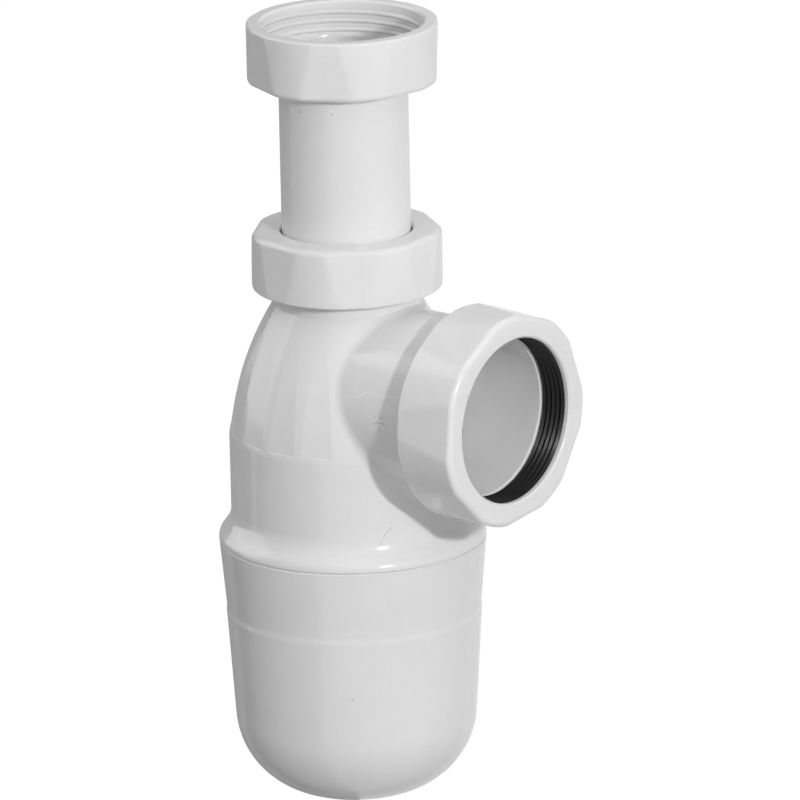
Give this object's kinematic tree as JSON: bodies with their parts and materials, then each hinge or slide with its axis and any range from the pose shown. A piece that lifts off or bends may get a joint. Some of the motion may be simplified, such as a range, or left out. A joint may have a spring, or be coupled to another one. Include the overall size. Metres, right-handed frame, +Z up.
{
  "type": "bottle trap",
  "caption": "Basin bottle trap: telescopic inlet tube with a swivel nut, faceted domed body, screw-off bottle and a compression outlet with a ribbed rubber seal.",
  "frame": {"origin": "centre of the inlet's sealing face, the top of the washer that the basin waste stands on", "axes": "+Z up along the trap's axis, out of the inlet; +X out of the outlet branch"},
  "size_m": [0.0903, 0.0694, 0.2059],
  "materials": {
    "white_plastic": "glossy moulded white polypropylene",
    "black_rubber": "satin black rubber",
    "white_rubber": "soft off-white washer"
  },
  "bodies": {
    "inlet_nut": {"inlet_nut": "white_plastic"},
    "inlet_tube": {"inlet_tube": "white_plastic", "inlet_washer": "white_rubber"},
    "trap_body": {"trap_body": "white_plastic", "neck_seal": "black_rubber"},
    "neck_ring": {"neck_ring": "white_plastic"},
    "neck_nut": {"neck_nut": "white_plastic"},
    "bottle_seal": {"bottle_seal": "black_rubber"},
    "bottle": {"bottle": "white_plastic"},
    "outlet_seal": {"outlet_seal": "black_rubber"},
    "outlet_nut": {"outlet_nut": "white_plastic"}
  },
  "joints": [
    {"name": "tube_swivel", "type": "hinge", "parent": "inlet_nut", "child": "inlet_tube", "pos_m": [0, 0, 0], "axis": [0, 0, 1], "continuous": true},
    {"name": "telescope", "type": "slide", "parent": "inlet_tube", "child": "trap_body", "axis": [0, 0, -1], "range_m": [-0.038, 0.038]},
    {"name": "neck_nut_spin", "type": "hinge", "parent": "neck_ring", "child": "neck_nut", "pos_m": [0, 0, -0.0519], "axis": [0, 0, 1], "range_deg": [0, 1670]},
    {"name": "neck_ring_lift", "type": "slide", "parent": "trap_body", "child": "neck_ring", "axis": [0, 0, 1], "range_m": [0, 0.0108]},
    {"name": "bottle_spin", "type": "hinge", "parent": "bottle_seal", "child": "bottle", "pos_m": [0, 0, -0.16], "axis": [0, 0, -1], "range_deg": [0, 1115]},
    {"name": "bottle_drop", "type": "slide", "parent": "trap_body", "child": "bottle_seal", "axis": [0, 0, -1], "range_m": [0, 0.0125]},
    {"name": "outlet_nut_spin", "type": "hinge", "parent": "outlet_seal", "child": "outlet_nut", "pos_m": [0.047, 0, -0.0865], "axis": [1, 0, 0], "range_deg": [0, 1260]},
    {"name": "outlet_seal_draw", "type": "slide", "parent": "trap_body", "child": "outlet_seal", "axis": [1, 0, 0], "range_m": [0, 0.0081]}
  ],
  "couplings": [
    {"joint": "neck_ring_lift", "follows": "neck_nut_spin", "m_per_rad": 0.00036749},
    {"joint": "bottle_drop", "follows": "bottle_spin", "m_per_rad": 0.00063662},
    {"joint": "outlet_seal_draw", "follows": "outlet_nut_spin", "m_per_rad": 0.00036749}
  ]
}
